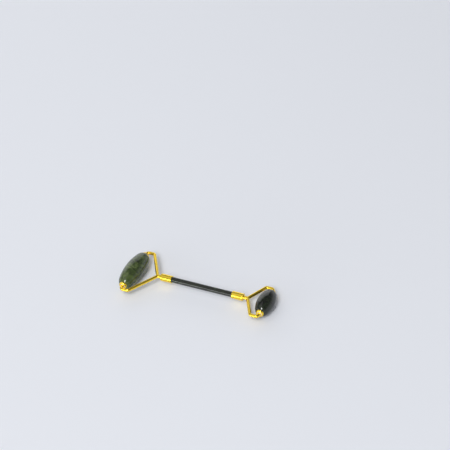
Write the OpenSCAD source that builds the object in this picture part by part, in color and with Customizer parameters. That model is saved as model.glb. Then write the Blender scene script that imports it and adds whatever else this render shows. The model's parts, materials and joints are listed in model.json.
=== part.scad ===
// Double-ended face roller: a stone handle with a wire fork and a free-spinning stone at each end.
// Millimetres, +Z up. The handle lies along X, the large head points to -X and the small head to +X.
// The stones turn about Y. The origin is on the floor under the middle of the roller's outer box.

/* [Handle] */
// Length of the stone rod that shows between the two ferrules
handle_len = 58; // [40:0.5:90]
// Diameter of the stone rod
handle_d = 5; // [4.4:0.1:10]
// How far the stone rod goes into each ferrule
handle_insert = 7; // [4:0.1:12]
// Diameter of the steel rod inside the handle
tie_rod_d = 2; // [1.4:0.1:2.4]
// How far the steel rod screws into each neck
tie_rod_grip = 1.9; // [1.2:0.1:2]

/* [Ferrules and necks] */
// Wall thickness of the ferrule sleeves
ferrule_wall = 0.8; // [0.2:0.05:1.2]
// Thickness of the end wall of each ferrule
ferrule_end_t = 0.8; // [0.6:0.1:1.5]
// Rounding of the outer end of each ferrule
ferrule_round = 0.5; // [0.2:0.05:0.55]
// Thickness of the soft washer at each end of the stone rod
washer_t = 0.6; // [0.3:0.1:1.2]
// Thickness of the neck's flange inside the ferrule
neck_flange_t = 2.2; // [2.1:0.1:4]
// Diameter of the neck between ferrule and fork
neck_d = 3.4; // [2.4:0.1:4]
// Distance from the ferrule's end to the point where the lines of the two arms meet
neck_len = 3.6; // [2.5:0.1:6]
// How far the neck's end stops short of the middle of the wire it is brazed to
neck_setback = 0.6; // [0.4:0.1:0.9]

/* [Fork wire] */
// Diameter of the fork wire
wire_d = 3; // [1.8:0.1:3.2]
// Radius of the bends, at the middle of the wire
bend_r = 2.4; // [2:0.1:3.2]
// How much thicker the wire is at its bends
bend_swell = 0.04; // [0.03:0.01:0.06]
// How far the wire's tips reach into the stones
tip_insert = 3.6; // [2:0.1:4.4]
// Straight wire between each bend and its end cap
tip_gap = 1.4; // [0.5:0.1:3]

/* [End caps] */
// Thickness of the cap's flange on the end of the stone
cap_t = 1.6; // [1.2:0.1:2.5]
// How far the flange stands out past the cap's sleeve
cap_brim = 0.9; // [0.6:0.1:2]
// Rounding of the flange's outer edge
cap_round = 0.9; // [0.3:0.1:1]
// Wall thickness of the cap's sleeve inside the stone
cap_wall = 0.55; // [0.4:0.05:0.8]
// Length of the cap's sleeve inside the stone
cap_sleeve_len = 5; // [4.5:0.1:8]
// Wall thickness of the liner bush
bush_wall = 0.5; // [0.35:0.05:0.7]

/* [Large head] */
// Length of the large stone
large_stone_len = 43.2; // [34:0.2:56]
// Diameter of the large stone
large_stone_d = 17.6; // [14.6:0.2:23]
// Radius of the large stone's shoulders
large_shoulder_r = 9; // [6:0.5:10]
// Slope of the large stone's shoulder where it meets the cap
large_shoulder_slope = 50; // [40:1:55]
// Angle of the large fork's arms to the handle
large_arm_angle = 59; // [50:1:65]
// Distance from the large fork's corners to the large stone's axis
large_run = 7.2; // [5.5:0.1:10]

/* [Small head] */
// Length of the small stone
small_stone_len = 27.4; // [22:0.2:36]
// Diameter of the small stone
small_stone_d = 16; // [13:0.2:19]
// Radius of the small stone's shoulders
small_shoulder_r = 6.5; // [5:0.5:7]
// Slope of the small stone's shoulder where it meets the cap
small_shoulder_slope = 55; // [45:1:58]
// Angle of the small fork's arms to the handle
small_arm_angle = 62; // [52:1:66]
// Distance from the small fork's corners to the small stone's axis
small_run = 6.9; // [5.5:0.1:10]

/* [Clearances] */
// Running gap between a wire tip and its bush, all round
running_gap = 0.05; // [0.03:0.01:0.1]
// Gap between pieces that are pressed together, all round
press_gap = 0.02; // [0.01:0.01:0.03]
// Gap that glue or braze fills, all round
glue_gap = 0.05; // [0.03:0.01:0.1]
// Flat land on the stone's end outside the cap
cap_land = 0.15; // [0.05:0.05:0.4]

/* [Hidden] */
$fn = 64;

// Colours of the stone, the plated metal and the inner pieces
dark_stone = [0.09, 0.11, 0.09];
green_stone = [0.32, 0.40, 0.25];
gold = [0.80, 0.66, 0.18];
steel = [0.62, 0.63, 0.65];
nylon = [0.88, 0.87, 0.82];
fibre = [0.35, 0.20, 0.14];

// Sides of the handle and of a stone
SMALL_END = 1;
LARGE_END = -1;
BACK = 1;
FRONT = -1;

// Round fits, from the wire outwards
bush_bore_d = wire_d + 2 * running_gap;
bush_d = bush_bore_d + 2 * bush_wall;
cap_bore_d = bush_d + 2 * press_gap;
cap_sleeve_d = cap_bore_d + 2 * cap_wall;
stone_bore_d = cap_sleeve_d + 2 * glue_gap;
cap_d = cap_sleeve_d + 2 * cap_brim;
stone_end_r = cap_d / 2 + cap_land;

// Round fits of the handle
ferrule_bore_d = handle_d + 2 * glue_gap;
ferrule_d = ferrule_bore_d + 2 * ferrule_wall;
ferrule_hole_d = neck_d + 2 * glue_gap;
neck_flange_d = ferrule_bore_d - 2 * glue_gap;
handle_bore_d = tie_rod_d + 2 * glue_gap;
neck_thread_d = tie_rod_d + 2 * press_gap;

// Places along the handle, from its middle
ferrule_start = handle_len / 2;
handle_end = ferrule_start + handle_insert;
flange_start = handle_end + washer_t;
flange_end = flange_start + neck_flange_t;
ferrule_end = flange_end + ferrule_end_t;
arms_meet = ferrule_end + neck_len;

// Half widths of the forks, at the middle of the wire
large_half_w = large_stone_len / 2 + cap_t + tip_gap + bend_r;
small_half_w = small_stone_len / 2 + cap_t + tip_gap + bend_r;

// Stone axes, as distances from the middle of the handle
large_axis = arms_meet + large_half_w / tan(large_arm_angle) + large_run;
small_axis = arms_meet + small_half_w / tan(small_arm_angle) + small_run;

// Place of the handle's middle in the roller's frame
large_reach = large_axis + large_stone_d / 2;
small_reach = small_axis + small_stone_d / 2;
handle_x = (large_reach - small_reach) / 2;
handle_z = max(large_stone_d, small_stone_d) / 2;

// Room that a cut runs past the face it opens
cut = 1;
// How far a straight piece of wire runs on inside the bend that it meets
bend_lap = 0.15;
// How far a stone's shoulder arc runs on inside the belly arc that it meets
shoulder_lap = 0.3;
// Facets of a stone's long belly arc
belly_fn = 360;

// Where the middle of the wire crosses the handle's axis, past the point where the arms' lines meet
function apex_offset(arm_angle) = bend_r / sin(arm_angle) - bend_r;

// Puts a shape drawn around the handle's middle in its place
module at_handle() {
    translate([handle_x, 0, handle_z])
        children();
}

// Turns a shape drawn towards +X to the named end of the handle
module at_end(end) {
    at_handle()
        mirror([end == LARGE_END ? 1 : 0, 0, 0])
            children();
}

// Puts a shape drawn around +Y on a stone's axis, turned to the named side
module on_axle(end, axis, side) {
    at_end(end)
        translate([axis, 0, 0])
            mirror([0, side == FRONT ? 1 : 0, 0])
                children();
}

// Turns a profile, drawn with its axis up, into a round piece around +X
module turned_x() {
    rotate([0, 90, 0])
        rotate_extrude()
            children();
}

// Turns a profile, drawn with its axis up, into a round piece around +Y
module turned_y() {
    rotate([-90, 0, 0])
        rotate_extrude()
            children();
}

// Half profile of a tube: inner and outer diameter, from one height to another
module tube_profile(inner_d, outer_d, from, to) {
    translate([inner_d / 2, from])
        square([(outer_d - inner_d) / 2, to - from]);
}

// Half profile of a disc whose upper outer edge is rounded
module rounded_disc_profile(d, t, round_r) {
    square([d / 2, t - round_r]);
    square([d / 2 - round_r, t]);
    intersection() {
        translate([d / 2 - round_r, t - round_r])
            circle(r = round_r);
        square([d / 2, t]);
    }
}

// Straight wire from one point to the next in the plane of the fork, lapped into the bends at its ends
module wire_run(from, to, d) {
    step = to - from;
    translate([from[0], from[1], 0])
        rotate([0, 90, atan2(step[1], step[0])])
            translate([0, 0, -bend_lap])
                cylinder(h = norm(step) + 2 * bend_lap, d = d);
}

// Bent wire around a centre, from one direction counter-clockwise by an angle, a little swollen
module wire_bend(centre, start, sweep, d) {
    translate([centre[0], centre[1], 0])
        rotate([0, 0, start])
            rotate_extrude(angle = sweep)
                translate([bend_r, 0])
                    circle(d = d + bend_swell);
}

// The bend where the two arms of a fork meet, with the start of each arm
module apex_wire(arm_angle, arm_len, d) {
    direction = [cos(arm_angle), sin(arm_angle)];
    start = [arms_meet, 0] + bend_r / tan(arm_angle) * direction;
    wire_bend([arms_meet + bend_r / sin(arm_angle), 0], 90 + arm_angle, 180 - 2 * arm_angle, d);
    for (side = [BACK, FRONT])
        mirror([0, side == FRONT ? 1 : 0, 0])
            wire_run(start, start + arm_len * direction, d);
}

// A whole fork: both arms, their corners and runs, and the tips that carry the stone
module fork_wire(arm_angle, half_w, axis, stone_len) {
    corner_len = bend_r * tan(arm_angle / 2);
    arm_len = half_w / sin(arm_angle) - bend_r / tan(arm_angle) - corner_len;
    corner_x = arms_meet + half_w / tan(arm_angle);
    bend_y = half_w - bend_r;
    tip_y = stone_len / 2 - tip_insert + bend_lap;
    apex_wire(arm_angle, arm_len, wire_d);
    for (side = [BACK, FRONT])
        mirror([0, side == FRONT ? 1 : 0, 0]) {
            wire_bend([corner_x + corner_len, bend_y], 90, arm_angle, wire_d);
            wire_run([corner_x + corner_len, half_w], [axis - bend_r, half_w], wire_d);
            wire_bend([axis - bend_r, bend_y], 0, 90, wire_d);
            wire_run([axis, bend_y], [axis, tip_y], wire_d);
        }
}

// Sleeve over the end of the stone rod, with a rounded end wall and a hole for the neck
module ferrule() {
    depth = ferrule_end - ferrule_end_t;
    turned_x()
        difference() {
            translate([0, ferrule_start])
                rounded_disc_profile(ferrule_d, ferrule_end - ferrule_start, ferrule_round);
            translate([0, ferrule_start - cut])
                square([ferrule_bore_d / 2, depth - ferrule_start + cut]);
            translate([0, depth - cut])
                square([ferrule_hole_d / 2, ferrule_end_t + 2 * cut]);
        }
}

// Soft washer between the stone rod's end and the neck's flange
module washer() {
    turned_x()
        tube_profile(handle_bore_d, neck_flange_d, handle_end, flange_start);
}

// Flanged stem: screwed on the steel rod inside the ferrule, and brazed to the bend of the fork
module neck(arm_angle) {
    difference() {
        turned_x() {
            tube_profile(0, neck_flange_d, flange_start, flange_end);
            tube_profile(0, neck_d, flange_start, arms_meet + apex_offset(arm_angle) - neck_setback);
        }
        turned_x()
            tube_profile(0, neck_thread_d, flange_start - cut, flange_start + tie_rod_grip + press_gap);
        apex_wire(arm_angle, neck_d, wire_d + 2 * glue_gap);
    }
}

// Half profile of a stone: a long belly arc that runs smoothly into two shoulder arcs
module stone_profile(len, d, shoulder_r, slope) {
    half = len / 2;
    shoulder = [stone_end_r - shoulder_r * cos(slope), half - shoulder_r * sin(slope)];
    inset = d / 2 - shoulder[0];
    belly_r = (inset * inset + shoulder[1] * shoulder[1] - shoulder_r * shoulder_r)
        / (2 * (inset - shoulder_r));
    belly_x = d / 2 - belly_r;
    belly_end = belly_r * sin(atan2(shoulder[1], shoulder[0] - belly_x)) - shoulder_lap;
    intersection() {
        translate([belly_x, 0])
            circle(r = belly_r, $fn = belly_fn);
        translate([0, -belly_end])
            square([d / 2, 2 * belly_end]);
    }
    for (side = [BACK, FRONT])
        mirror([0, side == FRONT ? 1 : 0])
            intersection() {
                translate(shoulder)
                    circle(r = shoulder_r);
                square([d / 2, half]);
            }
}

// Oval stone around +Y, drilled from end to end
module stone(len, d, shoulder_r, slope) {
    difference() {
        turned_y()
            stone_profile(len, d, shoulder_r, slope);
        turned_y()
            translate([0, -len / 2 - cut])
                square([stone_bore_d / 2, len + 2 * cut]);
    }
}

// End cap: a rounded flange on the end of the stone, and a sleeve glued into its bore
module cap(stone_len) {
    seat = stone_len / 2;
    sleeve_end = seat - cap_sleeve_len;
    turned_y()
        difference() {
            union() {
                translate([0, seat])
                    rounded_disc_profile(cap_d, cap_t, cap_round);
                tube_profile(0, cap_sleeve_d, sleeve_end, seat);
            }
            translate([0, sleeve_end - cut])
                square([cap_bore_d / 2, cap_sleeve_len + cap_t + 2 * cut]);
        }
}

// Liner bush inside an end cap, in which the tip of the wire runs
module bush(stone_len) {
    seat = stone_len / 2;
    turned_y()
        tube_profile(bush_bore_d, bush_d, seat - cap_sleeve_len, seat + cap_t);
}

module handle_rod() {
    color(dark_stone)
        at_handle()
            turned_x()
                tube_profile(handle_bore_d, handle_d, -handle_end, handle_end);
}

module tie_rod() {
    reach = flange_start + tie_rod_grip;
    color(steel)
        at_handle()
            turned_x()
                tube_profile(0, tie_rod_d, -reach, reach);
}

module large_ferrule() {
    color(gold)
        at_end(LARGE_END)
            ferrule();
}

module large_washer() {
    color(fibre)
        at_end(LARGE_END)
            washer();
}

module large_neck() {
    color(gold)
        at_end(LARGE_END)
            neck(large_arm_angle);
}

module large_fork() {
    color(gold)
        at_end(LARGE_END)
            fork_wire(large_arm_angle, large_half_w, large_axis, large_stone_len);
}

module large_stone() {
    color(green_stone)
        on_axle(LARGE_END, large_axis, BACK)
            stone(large_stone_len, large_stone_d, large_shoulder_r, large_shoulder_slope);
}

module large_front_cap() {
    color(gold)
        on_axle(LARGE_END, large_axis, FRONT)
            cap(large_stone_len);
}

module large_back_cap() {
    color(gold)
        on_axle(LARGE_END, large_axis, BACK)
            cap(large_stone_len);
}

module large_front_bush() {
    color(nylon)
        on_axle(LARGE_END, large_axis, FRONT)
            bush(large_stone_len);
}

module large_back_bush() {
    color(nylon)
        on_axle(LARGE_END, large_axis, BACK)
            bush(large_stone_len);
}

module small_ferrule() {
    color(gold)
        at_end(SMALL_END)
            ferrule();
}

module small_washer() {
    color(fibre)
        at_end(SMALL_END)
            washer();
}

module small_neck() {
    color(gold)
        at_end(SMALL_END)
            neck(small_arm_angle);
}

module small_fork() {
    color(gold)
        at_end(SMALL_END)
            fork_wire(small_arm_angle, small_half_w, small_axis, small_stone_len);
}

module small_stone() {
    color(dark_stone)
        on_axle(SMALL_END, small_axis, BACK)
            stone(small_stone_len, small_stone_d, small_shoulder_r, small_shoulder_slope);
}

module small_front_cap() {
    color(gold)
        on_axle(SMALL_END, small_axis, FRONT)
            cap(small_stone_len);
}

module small_back_cap() {
    color(gold)
        on_axle(SMALL_END, small_axis, BACK)
            cap(small_stone_len);
}

module small_front_bush() {
    color(nylon)
        on_axle(SMALL_END, small_axis, FRONT)
            bush(small_stone_len);
}

module small_back_bush() {
    color(nylon)
        on_axle(SMALL_END, small_axis, BACK)
            bush(small_stone_len);
}

handle_rod();
tie_rod();
large_ferrule();
large_washer();
large_neck();
large_fork();
large_stone();
large_front_cap();
large_back_cap();
large_front_bush();
large_back_bush();
small_ferrule();
small_washer();
small_neck();
small_fork();
small_stone();
small_front_cap();
small_back_cap();
small_front_bush();
small_back_bush();
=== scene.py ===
"""Looks of a double-ended stone face roller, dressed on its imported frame.

Everything is in metres, in the frame's own axes. The handle lies along X, with the large stone at -X and the
small one at +X. The stones turn about Y, and Z is up from the floor.
"""

import json
import logging
import math
from dataclasses import dataclass, field
from enum import Enum
from typing import Any, Optional, Union

import bmesh
import bpy
from mathutils import Matrix, Vector


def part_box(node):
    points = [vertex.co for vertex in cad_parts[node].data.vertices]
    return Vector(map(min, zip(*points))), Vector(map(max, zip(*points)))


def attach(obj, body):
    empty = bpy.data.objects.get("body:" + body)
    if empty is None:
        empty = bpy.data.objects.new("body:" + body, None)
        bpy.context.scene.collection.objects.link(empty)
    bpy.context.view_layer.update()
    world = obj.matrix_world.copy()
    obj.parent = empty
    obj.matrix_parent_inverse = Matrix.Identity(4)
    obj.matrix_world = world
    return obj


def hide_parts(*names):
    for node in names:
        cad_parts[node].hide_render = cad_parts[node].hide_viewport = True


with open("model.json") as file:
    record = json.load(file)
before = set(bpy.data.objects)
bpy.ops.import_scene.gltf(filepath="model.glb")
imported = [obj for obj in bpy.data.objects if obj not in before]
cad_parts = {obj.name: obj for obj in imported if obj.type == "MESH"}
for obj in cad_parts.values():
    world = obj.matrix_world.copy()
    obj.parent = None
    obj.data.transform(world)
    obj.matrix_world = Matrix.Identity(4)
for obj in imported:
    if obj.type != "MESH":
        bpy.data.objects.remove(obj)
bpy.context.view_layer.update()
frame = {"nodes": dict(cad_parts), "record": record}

LOG = logging.getLogger("face_roller")

MM = 0.001
Colour = tuple[float, float, float]
Point = tuple[float, float]
Socket = bpy.types.NodeSocket
# What a node's number input takes: a plain number, or another node's output
Number = Union[float, Socket]

# Name of the attribute that holds a piece's polishing direction: X runs across the marks and Y along them
GRAIN = "grain"
# Places of a Mix node's colour sockets, which share their names with those of its other kinds
MIX_FIRST, MIX_SECOND, MIX_RESULT = 6, 7, 2
# Alpha of every colour
OPAQUE = 1.0
# Middle of a noise texture's range
NOISE_MIDDLE = 0.5
# Edges that turn by more than this are shaded sharp
SHARP_ANGLE = math.radians(40)
# Points closer than this are one point
MERGE_DISTANCE = 0.0005 * MM
# The curve in which screens store a colour: a straight toe, then a power
SCREEN_WHITE = 255
SCREEN_TOE = 0.04045
SCREEN_TOE_SLOPE = 12.92
SCREEN_OFFSET = 0.055
SCREEN_POWER = 2.4


class End(Enum):
    """The two ends of the handle."""

    LARGE = "large"
    SMALL = "small"

    @property
    def outward(self) -> Vector:
        """Direction from the middle of the handle to this end."""
        return Vector((-1.0 if self is End.LARGE else 1.0, 0.0, 0.0))

    def node(self, piece: str) -> str:
        """Name of this end's own node of a kind of piece."""
        return f"{self.value}_{piece}"


class Side(Enum):
    """The two ends of a stone."""

    FRONT = "front"
    BACK = "back"

    @property
    def outward(self) -> Vector:
        """Direction from the middle of a stone to this side."""
        return Vector((0.0, -1.0 if self is Side.FRONT else 1.0, 0.0))


class Body(Enum):
    """The bodies that pieces ride on."""

    FRAME = "frame"
    LARGE_ROLLER = "large_roller"
    SMALL_ROLLER = "small_roller"

    @classmethod
    def roller(cls, end: End) -> "Body":
        """The roller body at an end of the handle."""
        return cls.LARGE_ROLLER if end is End.LARGE else cls.SMALL_ROLLER


@dataclass(frozen=True)
class NodeBox:
    """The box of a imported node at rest."""

    low: Vector
    high: Vector

    @classmethod
    def of(cls, node: str) -> "NodeBox":
        """Reads the box of a node from the frame."""
        low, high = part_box(node)
        return cls(low, high)

    @property
    def middle(self) -> Vector:
        """Middle of the box."""
        return (self.low + self.high) / 2

    @property
    def size(self) -> Vector:
        """Lengths of the box's sides."""
        return self.high - self.low

    def reach(self, start: Vector, direction: Vector) -> tuple[float, float]:
        """Nearest and farthest distance of the box from a point, along one of the frame's axes.

        Args:
            start: Point that the distances are counted from.
            direction: Unit vector along an axis.

        Returns:
            The lower and the higher distance.
        """
        ends = sorted(((self.low - start).dot(direction), (self.high - start).dot(direction)))
        return ends[0], ends[1]


class NodeTree:
    """Short ways to add and link nodes in a node tree."""

    def __init__(self, tree: bpy.types.NodeTree) -> None:
        """Takes the tree that nodes are added to."""
        self.tree = tree

    def add(self, kind: str, inputs: Optional[dict[Any, Any]] = None, **settings: Any) -> bpy.types.Node:
        """Adds a node.

        Args:
            kind: The node's type name.
            inputs: Values or output sockets for its inputs, by name or index.
            settings: Attributes of the node itself.

        Returns:
            The new node.
        """
        node = self.tree.nodes.new(kind)
        for name, value in settings.items():
            setattr(node, name, value)
        for key, value in (inputs or {}).items():
            self.feed(node.inputs[key], value)
        return node

    def feed(self, socket: Socket, value: Any) -> None:
        """Feeds an input.

        Args:
            socket: The input.
            value: An output socket to link to it, or its plain value.
        """
        if isinstance(value, Socket):
            self.tree.links.new(value, socket)
        else:
            socket.default_value = value

    def declare(self, name: str, kind: str, output: bool = False, default: Any = None) -> None:
        """Adds a named socket to the group's own interface.

        Args:
            name: Name of the socket.
            kind: Its type name.
            output: True for an output, False for an input.
            default: Value of an input that nothing feeds, or None for Blender's own.
        """
        direction = "OUTPUT" if output else "INPUT"
        socket = self.tree.interface.new_socket(name, in_out=direction, socket_type=kind)
        if default is not None:
            socket.default_value = default

    def math(self, operation: str, first: Number, second: Number = 0.0) -> Socket:
        """Adds a Math node and returns its output."""
        return self.add("ShaderNodeMath", {0: first, 1: second}, operation=operation).outputs[0]

    def mix(self, factor: Number, first: Any, second: Any) -> Socket:
        """Mixes two colours.

        Args:
            factor: Share of the second colour.
            first: The first colour, or the output that gives it.
            second: The second colour, or the output that gives it.

        Returns:
            The output with the mixed colour.
        """
        node = self.add("ShaderNodeMix", data_type="RGBA")
        self.feed(node.inputs["Factor"], factor)
        for socket, value in ((node.inputs[MIX_FIRST], first), (node.inputs[MIX_SECOND], second)):
            self.feed(socket, value if isinstance(value, Socket) else (*value, OPAQUE))
        return node.outputs[MIX_RESULT]


class GeometryTree(NodeTree):
    """A Geometry Nodes tree with named inputs, and the way it is run on a mesh of points."""

    def __init__(self, name: str) -> None:
        """Makes a tree that takes points and gives a geometry.

        Args:
            name: Name of the tree.
        """
        super().__init__(bpy.data.node_groups.new(name, "GeometryNodeTree"))
        self.tree.is_modifier = True
        self.declare("Geometry", "NodeSocketGeometry", output=True)
        self.declare("Points", "NodeSocketGeometry")

    def whole(self, operation: str, first: Any, second: Any) -> Socket:
        """Adds an Integer Math node and returns its output."""
        return self.add("FunctionNodeIntegerMath", {0: first, 1: second}, operation=operation).outputs[0]

    def store_grain(self, geometry: Socket, across: Number, along: Number) -> Socket:
        """Stores the polishing direction on the points of a geometry.

        Args:
            geometry: The geometry.
            across: Distance across the marks.
            along: Distance along them.

        Returns:
            The geometry with its attribute.
        """
        grain = self.add("ShaderNodeCombineXYZ", {"X": across, "Y": along})
        stored = self.add(
            "GeometryNodeStoreNamedAttribute", {"Geometry": geometry, "Name": GRAIN},
            data_type="FLOAT_VECTOR", domain="POINT")
        self.feed(stored.inputs["Value"], grain.outputs["Vector"])
        return stored.outputs["Geometry"]

    def close(self, geometry: Socket, material: Socket) -> None:
        """Ends the tree in plain, smooth geometry with its material.

        Args:
            geometry: The finished shape.
            material: The input that holds its material.
        """
        smooth = self.add("GeometryNodeSetShadeSmooth", {"Geometry": geometry})
        plain = self.add("GeometryNodeRealizeInstances", {"Geometry": smooth.outputs["Geometry"]})
        dressed = self.add(
            "GeometryNodeSetMaterial", {"Geometry": plain.outputs["Geometry"], "Material": material})
        self.add("NodeGroupOutput", {"Geometry": dressed.outputs["Geometry"]})

    def run(self, name: str, points: list[Vector], joined: bool, inputs: dict[str, Any]) -> bpy.types.Object:
        """Runs the tree on a row of points and keeps the result as a plain mesh.

        Args:
            name: Name of the new object.
            points: The row of points that the tree reads.
            joined: True if edges join the points in order.
            inputs: Values of the tree's named inputs.

        Returns:
            An object at the origin with the finished mesh and no modifier.
        """
        edges = [(i, i + 1) for i in range(len(points) - 1)] if joined else []
        source = bpy.data.meshes.new(f"{name}_points")
        source.from_pydata(points, edges, [])
        piece = bpy.data.objects.new(name, source)
        bpy.context.scene.collection.objects.link(piece)
        modifier = piece.modifiers.new(self.tree.name, "NODES")
        modifier.node_group = self.tree
        for socket in self.tree.interface.items_tree:
            if socket.name in inputs:
                modifier[socket.identifier] = inputs[socket.name]
        evaluated = piece.evaluated_get(bpy.context.evaluated_depsgraph_get())
        mesh = bpy.data.meshes.new_from_object(evaluated)
        piece.modifiers.remove(modifier)
        piece.data = mesh
        bpy.data.meshes.remove(source)
        mesh.name = name
        self.clean(mesh)
        return piece

    @staticmethod
    def clean(mesh: bpy.types.Mesh) -> None:
        """Merges doubled points, turns the faces outwards and marks sharp edges.

        Args:
            mesh: The mesh, which is changed in place.
        """
        shell = bmesh.new()
        shell.from_mesh(mesh)
        bmesh.ops.remove_doubles(shell, verts=shell.verts, dist=MERGE_DISTANCE)
        bmesh.ops.dissolve_degenerate(shell, edges=shell.edges, dist=MERGE_DISTANCE)
        bmesh.ops.recalc_face_normals(shell, faces=shell.faces)
        shell.to_mesh(mesh)
        shell.free()
        mesh.set_sharp_from_angle(angle=SHARP_ANGLE)


class Outline:
    """Half outline of a turned piece: radii from its axis and heights along it."""

    CORNER_STEPS = 6
    # Distance of the support points that keep flats flat, and the number of such distances that a flat
    # has to be longer than to get them
    SUPPORT = 0.06 * MM
    SUPPORTS_IN_FLAT = 4

    def __init__(self) -> None:
        """Starts an empty outline."""
        self.corners: list[tuple[Vector, float]] = []

    def corner(self, radius: float, height: float, rounding: float = 0.0) -> "Outline":
        """Adds a corner, rounded if a rounding is given, and returns the outline."""
        self.corners.append((Vector((radius, height)), rounding))
        return self

    def arc(self, centre: Point, radius: float, start: float, stop: float, steps: int) -> "Outline":
        """Adds the points of an arc.

        Args:
            centre: Radius and height of the arc's centre.
            radius: Radius of the arc.
            start: Angle of the first point, counted from the outward radius towards the height.
            stop: Angle of the last point.
            steps: Number of steps between them.

        Returns:
            The outline.
        """
        for step in range(steps + 1):
            angle = start + (stop - start) * step / steps
            self.corner(centre[0] + radius * math.cos(angle), centre[1] + radius * math.sin(angle))
        return self

    def rounded(self, index: int) -> list[Vector]:
        """Works out the points that stand for a corner.

        Args:
            index: The corner's place in the outline.

        Returns:
            The corner itself, or the arc that rounds it.
        """
        here, rounding = self.corners[index]
        if rounding <= 0:
            return [here]
        before = (self.corners[index - 1][0] - here).normalized()
        after = (self.corners[(index + 1) % len(self.corners)][0] - here).normalized()
        half = before.angle(after) / 2
        centre = here + (before + after).normalized() * (rounding / math.sin(half))
        first = (here + before * (rounding / math.tan(half)) - centre).normalized()
        last = (here + after * (rounding / math.tan(half)) - centre).normalized()
        shares = [step / self.CORNER_STEPS for step in range(self.CORNER_STEPS + 1)]
        return [centre + first.slerp(last, share) * rounding for share in shares]

    def points(self) -> list[Vector]:
        """Works out the whole outline.

        Returns:
            Its points in the XZ plane, with the first one repeated at the end unless it is on the axis.
        """
        rough = [point for index in range(len(self.corners)) for point in self.rounded(index)]
        if rough[0].x > 0:
            rough.append(rough[0])
        fine = [rough[0]]
        for start, stop in zip(rough, rough[1:]):
            step = stop - start
            if step.length > self.SUPPORTS_IN_FLAT * self.SUPPORT:
                inset = step.normalized() * self.SUPPORT
                fine += [start + inset, stop - inset]
            fine.append(stop)
        return [Vector((point.x, 0.0, point.y)) for point in fine]


class Lathe(GeometryTree):
    """Turns an outline round an axis, as a lathe does."""

    def __init__(self) -> None:
        """Builds the tree: a grid of points is wrapped round the axis by the outline's radii and heights."""
        super().__init__("turned_piece")
        for name, kind in (
                ("Outline Points", "NodeSocketInt"), ("Steps Around", "NodeSocketInt"),
                ("Place", "NodeSocketVector"), ("Axis", "NodeSocketVector"),
                ("Finish", "NodeSocketMaterial")):
            self.declare(name, kind)
        given = self.add("NodeGroupInput").outputs
        # The last column lies on the first one, and the two are merged when the mesh is cleaned
        columns = self.whole("ADD", given["Steps Around"], 1)
        grid = self.add("GeometryNodeMeshGrid", {
            "Vertices X": given["Outline Points"], "Vertices Y": columns})
        index = self.add("GeometryNodeInputIndex").outputs["Index"]
        place = self.add("GeometryNodeInputPosition").outputs["Position"]
        sample = self.add("GeometryNodeSampleIndex", {"Geometry": given["Points"]}, data_type="FLOAT_VECTOR")
        self.feed(sample.inputs["Value"], place)
        self.feed(sample.inputs["Index"], self.whole("DIVIDE_FLOOR", index, columns))
        spot = self.add("ShaderNodeSeparateXYZ", {"Vector": sample.outputs["Value"]}).outputs
        turn = self.math("DIVIDE", self.whole("MODULO", index, columns), given["Steps Around"])
        angle = self.math("MULTIPLY", turn, math.tau)
        wrapped = self.add("ShaderNodeCombineXYZ", {
            "X": self.math("MULTIPLY", spot["X"], self.math("COSINE", angle)),
            "Y": self.math("MULTIPLY", spot["X"], self.math("SINE", angle)),
            "Z": spot["Z"]})
        turned = self.add("GeometryNodeSetPosition", {"Geometry": grid.outputs["Mesh"]})
        self.feed(turned.inputs["Position"], wrapped.outputs["Vector"])
        across = self.math("ADD", spot["X"], spot["Z"])
        along = self.math("MULTIPLY", spot["X"], angle)
        grained = self.store_grain(turned.outputs["Geometry"], across, along)
        aim = self.add("FunctionNodeAlignRotationToVector", {"Vector": given["Axis"]}, axis="Z")
        put = self.add("GeometryNodeTransform", {"Geometry": grained, "Translation": given["Place"]})
        self.feed(put.inputs["Rotation"], aim.outputs["Rotation"])
        self.close(put.outputs["Geometry"], given["Finish"])

    def turn(self, name: str, outline: Outline, place: Vector, axis: Vector, around: int,
             finish: bpy.types.Material) -> bpy.types.Object:
        """Makes a turned piece.

        Args:
            name: Name of the piece.
            outline: Its half outline.
            place: Point on its axis from which the outline's heights are counted.
            axis: Direction in which the heights grow.
            around: Number of steps round the axis.
            finish: Its material.

        Returns:
            The finished piece.
        """
        points = outline.points()
        return self.run(name, points, False, {
            "Outline Points": len(points), "Steps Around": around, "Place": place, "Axis": axis,
            "Finish": finish})


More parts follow.
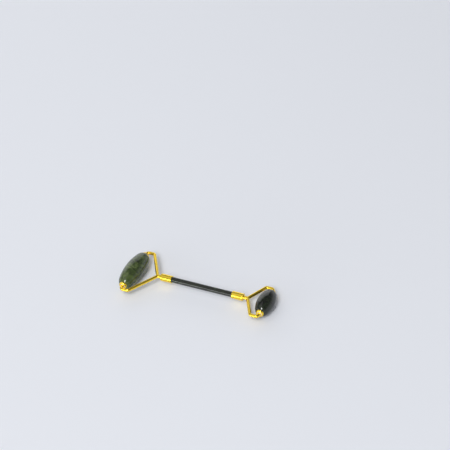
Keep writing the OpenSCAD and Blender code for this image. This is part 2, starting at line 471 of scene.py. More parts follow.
class WireBender(GeometryTree):
    """Bends round wire along a row of corner points, with one radius for every bend."""

    BEND_STEPS = 14
    STEPS_AROUND = 36
    # Names of the attributes that hold the length along the wire and the length round it
    ALONG = "wire_along"
    AROUND = "wire_around"

    def __init__(self) -> None:
        """Builds the tree: the corners are filleted, and a circle is swept along the path."""
        super().__init__("bent_wire")
        for name, kind in (
                ("Bend Radius", "NodeSocketFloat"), ("Wire Radius", "NodeSocketFloat"),
                ("Bend Steps", "NodeSocketInt"), ("Steps Around", "NodeSocketInt"),
                ("Finish", "NodeSocketMaterial")):
            self.declare(name, kind)
        given = self.add("NodeGroupInput").outputs
        path = self.add("GeometryNodeMeshToCurve", {"Mesh": given["Points"]})
        bent = self.add("GeometryNodeFilletCurve", {
            "Curve": path.outputs["Curve"], "Radius": given["Bend Radius"], "Count": given["Bend Steps"]},
            mode="POLY")
        ring = self.add("GeometryNodeCurvePrimitiveCircle", {
            "Resolution": given["Steps Around"], "Radius": given["Wire Radius"]})
        wire = self.add("GeometryNodeCurveToMesh", {
            "Curve": self.measured(bent.outputs["Curve"], self.ALONG),
            "Profile Curve": self.measured(ring.outputs["Curve"], self.AROUND), "Fill Caps": True})
        across = self.add("GeometryNodeInputNamedAttribute", {"Name": self.AROUND}).outputs["Attribute"]
        along = self.add("GeometryNodeInputNamedAttribute", {"Name": self.ALONG}).outputs["Attribute"]
        self.close(self.store_grain(wire.outputs["Mesh"], across, along), given["Finish"])

    def measured(self, curve: Socket, name: str) -> Socket:
        """Stores the length along a curve on its points.

        Args:
            curve: The curve.
            name: Name of the attribute that takes the length.

        Returns:
            The curve with its attribute.
        """
        length = self.add("GeometryNodeSplineParameter").outputs["Length"]
        stored = self.add("GeometryNodeStoreNamedAttribute", {"Geometry": curve, "Name": name})
        self.feed(stored.inputs["Value"], length)
        return stored.outputs["Geometry"]

    def bend(self, name: str, corners: list[Vector], bend_radius: float, wire_radius: float,
             finish: bpy.types.Material) -> bpy.types.Object:
        """Makes a bent wire.

        Args:
            name: Name of the piece.
            corners: Points where the straight runs of the wire's middle would meet, from end to end.
            bend_radius: Radius of the bends at the wire's middle.
            wire_radius: Radius of the wire.
            finish: Its material.

        Returns:
            The finished piece.
        """
        return self.run(name, corners, True, {
            "Bend Radius": bend_radius, "Wire Radius": wire_radius, "Bend Steps": self.BEND_STEPS,
            "Steps Around": self.STEPS_AROUND, "Finish": finish})


@dataclass(frozen=True)
class Fade:
    """A noise made into a mask: its detail, its bend, and the levels where the mask starts and is full."""

    detail: float
    bend: float
    start: float
    full: float


class ShaderGroup(NodeTree):
    """A shader node group with named inputs and outputs, placed in any material that needs it."""

    def __init__(self, name: str, inputs: dict[str, float], outputs: tuple[str, ...]) -> None:
        """Makes the group's interface.

        Args:
            name: Name of the group.
            inputs: Defaults of its number inputs, by name. A vector named Vector is always there.
            outputs: Names of its number outputs.
        """
        super().__init__(bpy.data.node_groups.new(name, "ShaderNodeTree"))
        self.declare("Vector", "NodeSocketVector")
        for label, default in inputs.items():
            self.declare(label, "NodeSocketFloat", default=default)
        for label in outputs:
            self.declare(label, "NodeSocketFloat", output=True)
        self.given = self.add("NodeGroupInput").outputs

    def noise(self, scale: Number, detail: float, bend: float = 0.0) -> bpy.types.Node:
        """Adds a noise texture on the group's vector.

        Args:
            scale: Scale of the noise.
            detail: Number of finer noises in it.
            bend: How much it is bent by itself.

        Returns:
            The texture's node.
        """
        return self.add("ShaderNodeTexNoise", {
            "Vector": self.given["Vector"], "Scale": scale, "Detail": detail, "Distortion": bend})

    def ramp(self, value: Number, start: Number, full: Number) -> Socket:
        """Makes a value a mask.

        Args:
            value: The value.
            start: Its level where the mask is 0.
            full: Its level where the mask is 1.

        Returns:
            The output with the mask, which rises smoothly between the two.
        """
        return self.add(
            "ShaderNodeMapRange", {"Value": value, "From Min": start, "From Max": full},
            interpolation_type="SMOOTHSTEP").outputs["Result"]

    def fade(self, scale: Number, look: Fade) -> Socket:
        """Makes a mask from a noise of a scale and returns its output."""
        return self.ramp(self.noise(scale, look.detail, look.bend).outputs["Fac"], look.start, look.full)

    def line(self, distance: Number, width: Number) -> Socket:
        """Makes a mask that is 1 where a distance is 0 and ends at a width, and returns its output."""
        return self.math("SUBTRACT", 1.0, self.ramp(distance, 0.0, width))


class StoneFigure(ShaderGroup):
    """The figure of cut stone: soft clouds, pale patches, dark veins, fine threads and small flecks."""

    CLOUD = Fade(detail=7.0, bend=0.7, start=0.34, full=0.66)
    PATCH = Fade(detail=5.0, bend=1.6, start=0.5, full=0.72)
    # Where lines are kept: each kind is broken up where this noise is low
    VEIN_KEPT = Fade(detail=2.0, bend=0.0, start=0.45, full=0.59)
    THREAD_KEPT = Fade(detail=2.0, bend=0.0, start=0.52, full=0.66)
    CRACK_KEPT = Fade(detail=2.0, bend=0.0, start=0.38, full=0.56)
    # Patches against clouds, and threads against veins
    PATCH_SCALE = 0.5
    THREAD_SCALE = 1.9
    THREAD_WIDTH = 0.45
    # The noises that keep lines, against the lines' own scale
    RIDGE_KEPT_SCALE = 0.6
    CRACK_KEPT_SCALE = 0.7
    RIDGE_DETAIL = 4.0
    VEIN_BEND = 1.2
    THREAD_BEND = 2.0
    # How far the cracks stray from straight lines, and how finely
    CRACK_WANDER = 9.0 * MM
    CRACK_DETAIL = 3.0
    # Distances from a fleck's middle at which it starts and is full, and the share of cells without one
    FLECK_START = 0.3
    FLECK_FULL = 0.12
    FLECK_FREE = 0.75

    def __init__(self) -> None:
        """Builds the group."""
        super().__init__(
            "stone_figure",
            {"Cloud Scale": 180.0, "Vein Scale": 110.0, "Vein Width": 0.05, "Crack Scale": 130.0,
             "Crack Width": 0.08, "Fleck Scale": 700.0},
            ("Cloud", "Patch", "Vein", "Thread", "Fleck"))
        given = self.given
        patch_scale = self.math("MULTIPLY", given["Cloud Scale"], self.PATCH_SCALE)
        vein = self.ridge(given["Vein Scale"], given["Vein Width"], self.VEIN_BEND, self.VEIN_KEPT)
        thread_scale = self.math("MULTIPLY", given["Vein Scale"], self.THREAD_SCALE)
        thread_width = self.math("MULTIPLY", given["Vein Width"], self.THREAD_WIDTH)
        self.add("NodeGroupOutput", {
            "Cloud": self.fade(given["Cloud Scale"], self.CLOUD),
            "Patch": self.fade(patch_scale, self.PATCH),
            "Vein": self.math("MAXIMUM", vein, self.cracks(given["Crack Scale"], given["Crack Width"])),
            "Thread": self.ridge(thread_scale, thread_width, self.THREAD_BEND, self.THREAD_KEPT),
            "Fleck": self.flecks()})

    def ridge(self, scale: Number, width: Number, bend: float, kept: Fade) -> Socket:
        """Draws lines where a noise crosses its middle.

        Args:
            scale: Scale of the noise that the lines follow.
            width: Half width of a line, as a share of the noise's range.
            bend: How much the lines wander.
            kept: Where the lines are kept.

        Returns:
            A mask that is 1 in the middle of a line.
        """
        noise = self.noise(scale, self.RIDGE_DETAIL, bend).outputs["Fac"]
        away = self.math("ABSOLUTE", self.math("SUBTRACT", noise, NOISE_MIDDLE))
        kept_scale = self.math("MULTIPLY", scale, self.RIDGE_KEPT_SCALE)
        return self.math("MULTIPLY", self.line(away, width), self.fade(kept_scale, kept))

    def cracks(self, scale: Number, width: Number) -> Socket:
        """Draws a net of healed cracks: the wandering edges of cells, faded out here and there.

        Args:
            scale: Scale of the cells.
            width: Half width of a crack, as a share of a cell.

        Returns:
            A mask that is 1 in the middle of a crack.
        """
        wander = self.noise(scale, self.CRACK_DETAIL).outputs["Color"]
        centred = self.add(
            "ShaderNodeVectorMath", {0: wander, 1: (-NOISE_MIDDLE,) * 3}, operation="ADD").outputs["Vector"]
        reach = self.add("ShaderNodeVectorMath", {0: centred}, operation="SCALE")
        self.feed(reach.inputs["Scale"], self.CRACK_WANDER)
        spot = self.add(
            "ShaderNodeVectorMath", {0: self.given["Vector"], 1: reach.outputs["Vector"]}, operation="ADD")
        cells = self.add("ShaderNodeTexVoronoi", {
            "Vector": spot.outputs["Vector"], "Scale": scale}, feature="DISTANCE_TO_EDGE")
        kept_scale = self.math("MULTIPLY", scale, self.CRACK_KEPT_SCALE)
        crack = self.line(cells.outputs["Distance"], width)
        return self.math("MULTIPLY", crack, self.fade(kept_scale, self.CRACK_KEPT))

    def flecks(self) -> Socket:
        """Draws small round specks in about one cell of every four.

        Returns:
            A mask that is 1 in the middle of a speck.
        """
        cells = self.add("ShaderNodeTexVoronoi", {
            "Vector": self.given["Vector"], "Scale": self.given["Fleck Scale"]}).outputs
        chance = self.add("ShaderNodeSeparateColor", {"Color": cells["Color"]}).outputs["Red"]
        speck = self.ramp(cells["Distance"], self.FLECK_START, self.FLECK_FULL)
        return self.math("MULTIPLY", speck, self.math("GREATER_THAN", chance, self.FLECK_FREE))


class PolishMarks(ShaderGroup):
    """What a polished surface shows close by: uneven gloss, smudges and fine marks."""

    SMUDGE = Fade(detail=5.0, bend=0.8, start=0.4, full=0.7)
    MARK_DETAIL = 2.0

    def __init__(self) -> None:
        """Builds the group."""
        super().__init__(
            "polish_marks",
            {"Gloss": 0.1, "Spread": 0.1, "Smudge Scale": 140.0, "Mark Scale": 5000.0, "Marks": 0.3},
            ("Roughness", "Height", "Smudge"))
        given = self.given
        smudge = self.fade(given["Smudge Scale"], self.SMUDGE)
        mark = self.noise(given["Mark Scale"], self.MARK_DETAIL).outputs["Fac"]
        marked = self.math("MULTIPLY", self.math("SUBTRACT", mark, NOISE_MIDDLE), given["Marks"])
        uneven = self.math("MULTIPLY", self.math("ADD", smudge, marked), given["Spread"])
        self.add("NodeGroupOutput", {
            "Roughness": self.math("ADD", given["Gloss"], uneven), "Height": marked, "Smudge": smudge})


class Material(NodeTree):
    """A material with one Principled shader."""

    def __init__(self, name: str) -> None:
        """Makes the material and its shader.

        Args:
            name: Name of the material.
        """
        self.material = bpy.data.materials.new(name)
        self.material.use_nodes = True
        super().__init__(self.material.node_tree)
        self.tree.nodes.clear()
        self.shader = self.add("ShaderNodeBsdfPrincipled")
        self.add("ShaderNodeOutputMaterial", {"Surface": self.shader.outputs["BSDF"]})

    def place(self, group: ShaderGroup, vector: Socket, **values: float) -> bpy.types.NodeOutputs:
        """Places a shared group with its own values.

        Args:
            group: The group.
            vector: Output with the coordinates that its pattern follows.
            values: Its inputs by name, with underscores for spaces.

        Returns:
            The placed group's outputs.
        """
        node = self.add("ShaderNodeGroup", node_tree=group.tree)
        self.feed(node.inputs["Vector"], vector)
        for name, value in values.items():
            node.inputs[name.replace("_", " ").title()].default_value = value
        return node.outputs

    def coordinates(self) -> Socket:
        """The piece's own coordinates."""
        return self.add("ShaderNodeTexCoord").outputs["Object"]

    def grain(self, along: float) -> Socket:
        """Makes coordinates that follow a piece's polishing marks.

        Args:
            along: Scale along the marks, where the scale across them is 1.

        Returns:
            The output with the coordinates.
        """
        stored = self.add("ShaderNodeAttribute", attribute_name=GRAIN, attribute_type="GEOMETRY")
        mapped = self.add("ShaderNodeMapping", {"Vector": stored.outputs["Vector"]})
        mapped.inputs["Scale"].default_value = (1.0, along, 1.0)
        return mapped.outputs["Vector"]

    def bump(self, height: Socket, distance: float, strength: float) -> None:
        """Feeds a height to the shader's normal."""
        node = self.add("ShaderNodeBump", {"Height": height, "Distance": distance, "Strength": strength})
        self.feed(self.shader.inputs["Normal"], node.outputs["Normal"])

    def set(self, **values: Any) -> None:
        """Sets or links the shader's inputs.

        Args:
            values: Plain values or output sockets by the input's name, with underscores for spaces.
        """
        for name, value in values.items():
            socket = self.shader.inputs[name.replace("_", " ")]
            if isinstance(value, tuple) and socket.type == "RGBA":
                value = (*value, OPAQUE)
            self.feed(socket, value)


def linear(level: int) -> float:
    """Undoes the screen's curve for one channel of a colour.

    Args:
        level: The channel's level on a screen, 0 to 255.

    Returns:
        Its linear level, 0 to 1.
    """
    share = level / SCREEN_WHITE
    if share <= SCREEN_TOE:
        return share / SCREEN_TOE_SLOPE
    return ((share + SCREEN_OFFSET) / (1 + SCREEN_OFFSET)) ** SCREEN_POWER


def from_screen(red: int, green: int, blue: int) -> Colour:
    """Turns a screen colour into the linear colour that shaders take."""
    return linear(red), linear(green), linear(blue)


@dataclass(frozen=True)
class Groups:
    """The shader groups that finishes share."""

    figure: StoneFigure = field(default_factory=StoneFigure)
    polish: PolishMarks = field(default_factory=PolishMarks)


@dataclass(frozen=True)
class JadeFinish:
    """Polished jade: the colours of its figure, their amounts and scales, its gloss and its glow."""

    slot: str
    deep: Colour
    body: Colour
    pale: Colour
    vein: Colour
    thread: Colour
    patch_amount: float
    vein_amount: float
    thread_amount: float
    cloud_scale: float
    vein_scale: float
    vein_width: float
    gloss: float
    glow: float
    fleck_amount: float = 0.7
    spread: float = 0.05
    smudge_scale: float = 120.0
    marks: float = 0.5
    refraction: float = 1.55
    coat: float = 0.05
    coat_roughness: float = 0.03
    glow_reach: Colour = (0.6, 1.0, 0.5)
    glow_depth: float = 1.2 * MM
    peel: float = 0.02 * MM
    peel_strength: float = 0.15

    def make(self, groups: Groups) -> bpy.types.Material:
        """Builds the material.

        Args:
            groups: The shared groups.

        Returns:
            The material.
        """
        mat = Material(self.slot)
        spot = mat.coordinates()
        figure = mat.place(
            groups.figure, spot, cloud_scale=self.cloud_scale, vein_scale=self.vein_scale,
            vein_width=self.vein_width)
        polish = mat.place(
            groups.polish, spot, gloss=self.gloss, spread=self.spread, smudge_scale=self.smudge_scale,
            marks=self.marks)
        ground = mat.mix(figure["Cloud"], self.deep, self.body)
        for mask, amount, colour in (
                ("Patch", self.patch_amount, self.pale), ("Vein", self.vein_amount, self.vein),
                ("Thread", self.thread_amount, self.thread), ("Fleck", self.fleck_amount, self.deep)):
            ground = mat.mix(mat.math("MULTIPLY", figure[mask], amount), ground, colour)
        mat.set(Base_Color=ground, Roughness=polish["Roughness"], IOR=self.refraction)
        mat.set(Coat_Weight=self.coat, Coat_Roughness=self.coat_roughness)
        mat.set(Subsurface_Weight=self.glow, Subsurface_Radius=self.glow_reach)
        mat.set(Subsurface_Scale=self.glow_depth)
        mat.bump(polish["Smudge"], self.peel, self.peel_strength)
        return mat.material


@dataclass(frozen=True)
class GoldFinish:
    """Polished gold-coloured plate with fine marks and a little wear."""

    slot: str
    plate: Colour
    worn: Colour
    gloss: float
    spread: float = 0.09
    smudge_scale: float = 260.0
    wear_amount: float = 0.35
    coat: float = 0.4
    coat_roughness: float = 0.08
    mark_scale: float = 9000.0
    mark_along: float = 0.04
    marks: float = 1.0
    mark_depth: float = 0.004 * MM
    mark_strength: float = 0.25

    def make(self, groups: Groups) -> bpy.types.Material:
        """Builds the material.

        Args:
            groups: The shared groups.

        Returns:
            The material.
        """
        mat = Material(self.slot)
        wear = mat.place(
            groups.polish, mat.coordinates(), gloss=self.gloss, spread=self.spread,
            smudge_scale=self.smudge_scale)
        lines = mat.place(
            groups.polish, mat.grain(self.mark_along), gloss=0.0, spread=0.0, mark_scale=self.mark_scale,
            marks=self.marks)
        colour = mat.mix(mat.math("MULTIPLY", wear["Smudge"], self.wear_amount), self.plate, self.worn)
        mat.set(Base_Color=colour, Metallic=1.0, Roughness=wear["Roughness"])
        mat.set(Coat_Weight=self.coat, Coat_Roughness=self.coat_roughness)
        mat.bump(lines["Height"], self.mark_depth, self.mark_strength)
        return mat.material


@dataclass(frozen=True)
class PlainFinish:
    """A plain turned or moulded finish: two near colours, its gloss and its marks."""

    slot: str
    light: Colour
    dark: Colour
    gloss: float
    metallic: float
    mark_scale: float
    spread: float = 0.15
    smudge_scale: float = 400.0
    marks: float = 0.6
    mark_depth: float = 0.01 * MM
    mark_strength: float = 0.4

    def make(self, groups: Groups) -> bpy.types.Material:
        """Builds the material.

        Args:
            groups: The shared groups.

        Returns:
            The material.
        """
        mat = Material(self.slot)
        polish = mat.place(
            groups.polish, mat.coordinates(), gloss=self.gloss, spread=self.spread,
            smudge_scale=self.smudge_scale, mark_scale=self.mark_scale, marks=self.marks)
        colour = mat.mix(polish["Smudge"], self.light, self.dark)
        mat.set(Base_Color=colour, Metallic=self.metallic, Roughness=polish["Roughness"])
        mat.bump(polish["Height"], self.mark_depth, self.mark_strength)
        return mat.material


GREEN_JADE = JadeFinish(
    slot="green_jade",
    deep=from_screen(50, 63, 31), body=from_screen(77, 92, 45), pale=from_screen(114, 128, 84),
    vein=from_screen(14, 22, 8), thread=from_screen(120, 134, 92),
    patch_amount=0.55, vein_amount=0.78, thread_amount=0.45,
    cloud_scale=150.0, vein_scale=85.0, vein_width=0.05, gloss=0.1, glow=0.1)
DARK_JADE = JadeFinish(
    slot="dark_jade",
    deep=from_screen(9, 11, 7), body=from_screen(27, 33, 20), pale=from_screen(62, 76, 52),
    vein=from_screen(6, 8, 5), thread=from_screen(80, 96, 70),
    patch_amount=0.6, vein_amount=0.6, thread_amount=0.4,
    cloud_scale=190.0, vein_scale=110.0, vein_width=0.04, gloss=0.07, glow=0.03)
GOLD_PLATE = GoldFinish(
    slot="gold_plate", plate=(0.95, 0.67, 0.05), worn=(0.90, 0.59, 0.04), gloss=0.17)
STEEL_CORE = PlainFinish(
    slot="steel_core", light=(0.62, 0.62, 0.64), dark=(0.45, 0.45, 0.47),
    gloss=0.25, metallic=1.0, mark_scale=4000.0)
NYLON_LINER = PlainFinish(
    slot="nylon_liner", light=from_screen(232, 229, 218), dark=from_screen(214, 209, 194),
    gloss=0.4, metallic=0.0, mark_scale=6000.0)
FIBRE_WASHER = PlainFinish(
    slot="fibre_washer", light=from_screen(120, 70, 48), dark=from_screen(86, 46, 32),
    gloss=0.75, metallic=0.0, mark_scale=9000.0)


class Workshop:
    """The tools and finishes that every sub-assembly is made with."""

    def __init__(self) -> None:
        """Sets up the tools and makes every finish once."""
        self.lathe = Lathe()
        self.bender = WireBender()
        groups = Groups()
        finishes = (GREEN_JADE, DARK_JADE, GOLD_PLATE, STEEL_CORE, NYLON_LINER, FIBRE_WASHER)
        self.materials = {finish.slot: finish.make(groups) for finish in finishes}
        self.slots = {part["node"]: part["material_slot"] for part in frame["record"]["subparts"]}

    def finish_of(self, node: str) -> bpy.types.Material:
        """The finish of a node, from the slot that the record gives it."""
        return self.materials[self.slots[node]]

    def turn(self, node: str, outline: Outline, place: Vector, axis: Vector,
             around: int) -> bpy.types.Object:
        """Turns the piece that stands for a node, in that node's finish."""
        return self.lathe.turn(f"{node}_shown", outline, place, axis, around, self.finish_of(node))

    def dress(self, piece: bpy.types.Object, node: str, body: Body) -> None:
        """Puts a finished piece in the place of its node.

        Args:
            piece: The piece.
            node: The node that it stands for.
            body: The body that it rides on.
        """
        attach(piece, body.value)
        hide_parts(node)
        LOG.info("%s stands for %s on %s, %d faces", piece.name, node, body.value, len(piece.data.polygons))

    def dress_node(self, node: str) -> None:
        """Gives a node that keeps its own shape its finish.

        Args:
            node: Name of the node.
        """
        shown = frame["nodes"][node]
        for slot in shown.material_slots:
            slot.material = self.finish_of(node)
        LOG.info("%s keeps its shape", node)


@dataclass
class Handle:
    """The stone rod, with the steel rod and the washers inside it."""

    box: NodeBox = field(default_factory=lambda: NodeBox.of("handle_rod"))
    core: NodeBox = field(default_factory=lambda: NodeBox.of("tie_rod"))
    bore_gap: float = 0.05 * MM
    edge_round: float = 0.3 * MM
    around: int = 96

    def outline(self) -> Outline:
        """Works out the rod's shape.

        Returns:
            Half outline of the rod, with heights from its middle.
        """
        radius, half = self.box.size.z / 2, self.box.size.x / 2
        bore = self.core.size.z / 2 + self.bore_gap
        outline = Outline().corner(bore, -half).corner(radius, -half, self.edge_round)
        return outline.corner(radius, half, self.edge_round).corner(bore, half)

    def build(self, shop: Workshop) -> None:
        """Makes the rod and dresses the pieces inside it.

        Args:
            shop: Tools and finishes.
        """
        rod = shop.turn("handle_rod", self.outline(), self.box.middle, End.SMALL.outward, self.around)
        shop.dress(rod, "handle_rod", Body.FRAME)
        for node in ("tie_rod", End.LARGE.node("washer"), End.SMALL.node("washer")):
            shop.dress_node(node)


@dataclass
class HandleEnd:
    """A ferrule and its neck at one end of the handle."""

    end: End
    handle: NodeBox
    wall: float = 0.8 * MM
    end_wall: float = 0.8 * MM
    end_round: float = 0.5 * MM
    mouth_round: float = 0.1 * MM
    neck_radius: float = 1.7 * MM
    neck_round: float = 0.3 * MM
    gap: float = 0.05 * MM
    thread_gap: float = 0.02 * MM
    around: int = 96

    def span(self, node: str) -> tuple[float, float]:
        """Where a node starts and stops, counted outwards from the middle of the handle."""
        return NodeBox.of(node).reach(self.handle.middle, self.end.outward)

    def ferrule(self) -> Outline:
        """Works out the sleeve's shape.

        Returns:
            Half outline of the sleeve, with heights from the middle of the handle.
        """
        node = self.end.node("ferrule")
        start, stop = self.span(node)
        radius, hole, depth = NodeBox.of(node).size.z / 2, self.neck_radius + self.gap, stop - self.end_wall
        bore = radius - self.wall
        outline = Outline()
        outline.corner(bore, start, self.mouth_round).corner(radius, start, self.mouth_round)
        outline.corner(radius, stop, self.end_round).corner(hole, stop, self.mouth_round)
        return outline.corner(hole, depth).corner(bore, depth)

    def neck(self) -> Outline:
        """Works out the shape of the flanged stem, whose blind bore takes the end of the steel rod.

        Returns:
            Half outline of the stem, with heights from the middle of the handle.
        """
        node = self.end.node("neck")
        start, stop = self.span(node)
        flange = NodeBox.of(node).size.z / 2
        inside = self.span(self.end.node("ferrule"))[1] - self.end_wall
        bore = NodeBox.of("tie_rod").size.z / 2 + self.thread_gap
        bottom = self.span("tie_rod")[1] + self.thread_gap
        outline = Outline().corner(0.0, bottom).corner(bore, bottom).corner(bore, start)
        outline.corner(flange, start).corner(flange, inside).corner(self.neck_radius, inside)
        return outline.corner(self.neck_radius, stop, self.neck_round).corner(0.0, stop)

    def build(self, shop: Workshop) -> None:
        """Makes the ferrule and the neck.

        Args:
            shop: Tools and finishes.
        """
        for kind, outline in (("ferrule", self.ferrule()), ("neck", self.neck())):
            node = self.end.node(kind)
            piece = shop.turn(node, outline, self.handle.middle, self.end.outward, self.around)
            shop.dress(piece, node, Body.FRAME)


@dataclass
class Fork:
    """The bent wire that carries a stone. Its run is the length of its parallel arms, back from the axle."""

    end: End
    handle: NodeBox
    run: float
    neck_length: float = 3.6 * MM
    bend_radius: float = 2.4 * MM
    bend_swell: float = 0.02 * MM
    tip_insert: float = 3.6 * MM
    box: NodeBox = field(init=False)
    wire_radius: float = field(init=False)

    def __post_init__(self) -> None:
        """Reads the fork's own box, which is one wire high."""
        self.box = NodeBox.of(self.end.node("fork"))
        self.wire_radius = self.box.size.z / 2 - self.bend_swell

    def corners(self) -> list[Vector]:
        """Works out where the straight runs of the wire's middle would meet.

        Returns:
            The corner points, from the back tip to the front tip.
        """
        middle, outward = self.handle.middle, self.end.outward
        stone = NodeBox.of(self.end.node("stone"))
        half_width = self.box.size.y / 2 - self.wire_radius - self.bend_swell
        axle = (stone.middle - middle).dot(outward)
        apex = NodeBox.of(self.end.node("ferrule")).reach(middle, outward)[1] + self.neck_length
        tip = stone.size.y / 2 - self.tip_insert
        arm = [(axle, tip), (axle, half_width), (axle - self.run, half_width)]
        path = arm + [(apex, 0.0)] + [(along, -across) for along, across in reversed(arm)]
        return [middle + outward * along + Side.BACK.outward * across for along, across in path]

    def build(self, shop: Workshop) -> None:
        """Bends the wire.

        Args:
            shop: Tools and finishes.
        """
        node = self.end.node("fork")
        piece = shop.bender.bend(
            f"{node}_shown", self.corners(), self.bend_radius, self.wire_radius, shop.finish_of(node))
        shop.dress(piece, node, Body.FRAME)


@dataclass
class Roller:
    """A stone with its end caps and bushes.

    The shoulder's slope is the angle of its normal to the radius where the shoulder meets the stone's end.
    """

    end: End
    shoulder_radius: float
    shoulder_slope: float
    cap_land: float = 0.15 * MM
    end_round: float = 0.12 * MM
    cap_wall: float = 0.55 * MM
    cap_round: float = 0.88 * MM
    cap_mouth_round: float = 0.25 * MM
    cap_seat_round: float = 0.12 * MM
    bush_wall: float = 0.5 * MM
    bush_round: float = 0.12 * MM
    bush_recess: float = 0.15 * MM
    glue_gap: float = 0.05 * MM
    press_gap: float = 0.02 * MM
    brim: float = 0.9 * MM
    belly_steps: int = 64
    shoulder_steps: int = 24
    around: int = 144
    cap_around: int = 72
    box: NodeBox = field(init=False)

    def __post_init__(self) -> None:
        """Reads the stone's own box."""
        self.box = NodeBox.of(self.end.node("stone"))

    def cap_radii(self) -> tuple[float, float, float]:
        """Works out the radii of a cap.

        Returns:
            The radii of its flange, its sleeve and its bore.
        """
        flange = NodeBox.of(self.end.node("front_cap")).size.z / 2
        sleeve = flange - self.brim
        return flange, sleeve, sleeve - self.cap_wall

    def span(self, node: str, side: Side) -> tuple[float, float]:
        """Where a node starts and stops, counted towards a side from the middle of the stone."""
        return NodeBox.of(node).reach(self.box.middle, side.outward)

    def stone(self) -> Outline:
        """Works out the stone's shape: a long belly arc that runs smoothly into two shoulder arcs.

        Returns:
            Half outline of the stone, with heights from its middle.
        """
        half, radius = self.box.size.y / 2, self.box.size.z / 2
        flange, sleeve, _ = self.cap_radii()
        bore, end_radius = sleeve + self.glue_gap, flange + self.cap_land
        slope, round_r = self.shoulder_slope, self.shoulder_radius
        centre = end_radius - round_r * math.cos(slope), half - round_r * math.sin(slope)
        inset = radius - centre[0]
        belly = (inset ** 2 + centre[1] ** 2 - round_r ** 2) / (2 * (inset - round_r))
        meet = math.atan2(centre[1], centre[0] - radius + belly)
        outline = Outline().corner(bore, -half, self.end_round).corner(end_radius - self.end_round, -half)
        outline.arc((centre[0], -centre[1]), round_r, -slope, -meet, self.shoulder_steps)
        outline.arc((radius - belly, 0.0), belly, -meet, meet, self.belly_steps)
        outline.arc(centre, round_r, meet, slope, self.shoulder_steps)
        return outline.corner(end_radius - self.end_round, half).corner(bore, half, self.end_round)

    def cap(self, side: Side) -> Outline:
        """Works out a cap's shape.

        Args:
            side: The end of the stone that it is on.

        Returns:
            Half outline of the cap, with heights from the middle of the stone.
        """
        flange, sleeve, bore = self.cap_radii()
        start, face = self.span(self.end.node(f"{side.value}_cap"), side)
        seat = self.box.size.y / 2
        outline = Outline().corner(bore, start).corner(sleeve, start).corner(sleeve, seat)
        outline.corner(flange, seat, self.cap_seat_round).corner(flange, face, self.cap_round)
        return outline.corner(bore, face, self.cap_mouth_round)

    def bush(self, side: Side) -> Outline:
        """Works out a bush's shape.

        Args:
            side: The end of the stone that it is on.

        Returns:
            Half outline of the bush, with heights from the middle of the stone.
        """
        start, face = self.span(self.end.node(f"{side.value}_bush"), side)
        outer = self.cap_radii()[2] - self.press_gap
        bore = outer - self.bush_wall
        face -= self.bush_recess
        outline = Outline().corner(bore, start).corner(outer, start)
        return outline.corner(outer, face, self.bush_round).corner(bore, face, self.bush_round)

    def build(self, shop: Workshop) -> None:
        """Makes the stone, its caps and its bushes.

        Args:
            shop: Tools and finishes.
        """
        body = Body.roller(self.end)
        node = self.end.node("stone")
        stone = shop.turn(node, self.stone(), self.box.middle, Side.BACK.outward, self.around)
        shop.dress(stone, node, body)
        for side in Side:
            for kind, outline in (("cap", self.cap(side)), ("bush", self.bush(side))):
                node = self.end.node(f"{side.value}_{kind}")
                piece = shop.turn(node, outline, self.box.middle, side.outward, self.cap_around)
                shop.dress(piece, node, body)


@dataclass(frozen=True)
class Camera:
    """A camera aimed at a point, for a square picture."""

    azimuth: float = math.radians(25.11)
    elevation: float = math.radians(37.40)
    roll: float = math.radians(-3.17)
    distance: float = 1.0633
    target: tuple[float, float, float] = (-0.0124, 0.0887, 0.0092)
    focal_pixels: float = 1133.5
    picture_pixels: float = 450.0
    sensor: float = 36.0

    def build(self) -> None:
        """Makes the camera and sets it as the scene's."""
        data = bpy.data.cameras.new("camera")
        data.sensor_fit = "HORIZONTAL"
        data.sensor_width = self.sensor
        data.lens = self.focal_pixels / self.picture_pixels * self.sensor
        level = math.cos(self.elevation)
        back = Vector((
            math.sin(self.azimuth) * level, -math.cos(self.azimuth) * level, math.sin(self.elevation)))
        right = Vector((0.0, 0.0, 1.0)).cross(back).normalized()
        up = back.cross(right)
        rolled_right = right * math.cos(self.roll) + up * math.sin(self.roll)
        rolled_up = up * math.cos(self.roll) - right * math.sin(self.roll)
        turn = Matrix((rolled_right, rolled_up, back)).transposed().to_4x4()
        camera = bpy.data.objects.new("camera", data)
        bpy.context.scene.collection.objects.link(camera)
        camera.matrix_world = Matrix.Translation(Vector(self.target) + back * self.distance) @ turn
        bpy.context.scene.camera = camera


@dataclass(frozen=True)
class Softbox:
    """A flat lamp that points at the object. Its level is the brightness of its face, where 1 is white."""

    name: str
    direction: tuple[float, float, float]
    distance: float
    width: float
    height: float
    level: float

    def build(self) -> None:
        """Makes the lamp."""
        data = bpy.data.lights.new(self.name, "AREA")
        data.shape = "RECTANGLE"
        data.size = self.width
        data.size_y = self.height
        data.energy = self.level * math.pi * self.width * self.height
        lamp = bpy.data.objects.new(self.name, data)
        bpy.context.scene.collection.objects.link(lamp)
        away = Vector(self.direction).normalized()
        lamp.location = away * self.distance
        lamp.rotation_euler = away.to_track_quat("Z", "Y").to_euler()


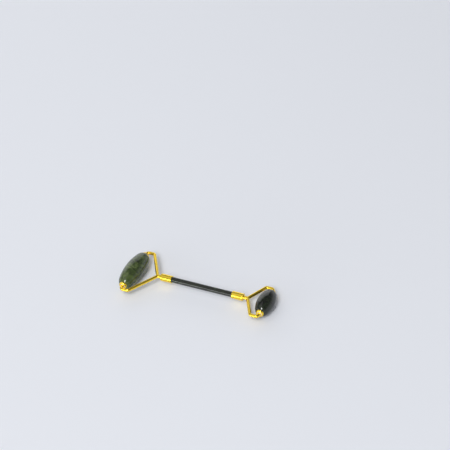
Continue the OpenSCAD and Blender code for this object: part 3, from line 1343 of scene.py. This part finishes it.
@dataclass(frozen=True)
class Studio:
    """The pale floor, the sky round it and the lamps.

    The sky turns from its horizon colour to its zenith colour between two heights of a unit direction.
    """

    floor_half: float = 3.0
    floor_colour: Colour = (0.82, 0.84, 0.89)
    floor_roughness: float = 0.85
    floor_sheen: float = 0.15
    horizon: Colour = (0.84, 0.85, 0.88)
    horizon_height: float = 0.05
    zenith: Colour = (0.17, 0.175, 0.185)
    zenith_height: float = 0.5
    lamps: tuple[Softbox, ...] = (
        Softbox("key_softbox", (0.09, -0.68, 0.72), distance=7.5, width=2.5, height=3.5, level=13.3),
        Softbox("top_softbox", (-0.3, -0.25, 0.92), distance=2.0, width=2.2, height=1.8, level=0.5),
        Softbox("front_softbox", (-0.34, -0.85, 0.22), distance=2.4, width=3.6, height=0.9, level=1.2),
        Softbox("low_strip", (-0.34, -0.9, 0.06), distance=4.2, width=5.2, height=0.34, level=11.0),
        Softbox("back_softbox", (-0.5, 0.75, 0.43), distance=2.0, width=2.0, height=1.3, level=0.8),
    )

    def floor_plane(self) -> tuple[Vector, float]:
        """Works out the floor that both stones touch.

        Returns:
            A point of the floor and its slope along X.
        """
        large = NodeBox.of(End.LARGE.node("stone"))
        small = NodeBox.of(End.SMALL.node("stone"))
        span = small.middle.x - large.middle.x
        slope = math.asin((large.size.z - small.size.z) / 2 / span)
        touch = large.middle - Vector((-math.sin(slope), 0.0, math.cos(slope))) * (large.size.z / 2)
        return touch, slope

    def floor(self) -> None:
        """Makes the floor."""
        touch, slope = self.floor_plane()
        half = self.floor_half
        corners = [(x, y, touch.z + (x - touch.x) * math.tan(slope)) for x, y in
                   ((-half, -half), (half, -half), (half, half), (-half, half))]
        mesh = bpy.data.meshes.new("floor")
        mesh.from_pydata(corners, [], [(0, 1, 2, 3)])
        floor = bpy.data.objects.new("floor", mesh)
        bpy.context.scene.collection.objects.link(floor)
        mat = Material("pale_floor")
        mat.set(Base_Color=self.floor_colour, Roughness=self.floor_roughness)
        mat.set(Specular_IOR_Level=self.floor_sheen)
        mesh.materials.append(mat.material)

    def sky(self) -> None:
        """Makes the light all round, pale at the horizon and greyer overhead."""
        world = bpy.data.worlds.new("studio")
        world.use_nodes = True
        kit = NodeTree(world.node_tree)
        kit.tree.nodes.clear()
        spot = kit.add("ShaderNodeTexCoord").outputs["Generated"]
        height = kit.add("ShaderNodeSeparateXYZ", {"Vector": spot}).outputs["Z"]
        share = kit.add("ShaderNodeMapRange", {
            "Value": height, "From Min": self.horizon_height, "From Max": self.zenith_height})
        colour = kit.mix(share.outputs["Result"], self.horizon, self.zenith)
        sky = kit.add("ShaderNodeBackground", {"Color": colour})
        kit.add("ShaderNodeOutputWorld", {"Surface": sky.outputs["Background"]})
        bpy.context.scene.world = world

    def build(self) -> None:
        """Makes the floor, the sky and the lamps."""
        self.floor()
        self.sky()
        for lamp in self.lamps:
            lamp.build()
        bpy.context.scene.view_settings.view_transform = "Standard"


def main() -> None:
    """Builds the roller's looks, the camera and the studio."""
    logging.basicConfig(level=logging.INFO, format="%(name)s: %(message)s")
    Camera().build()
    Studio().build()
    shop = Workshop()
    handle = Handle()
    handle.build(shop)
    for end in End:
        HandleEnd(end, handle.box).build(shop)
    Fork(End.LARGE, handle.box, run=7.2 * MM).build(shop)
    Fork(End.SMALL, handle.box, run=6.9 * MM).build(shop)
    Roller(End.LARGE, shoulder_radius=9.0 * MM, shoulder_slope=math.radians(50)).build(shop)
    Roller(End.SMALL, shoulder_radius=6.5 * MM, shoulder_slope=math.radians(55)).build(shop)


if __name__ == "__main__":
    main()
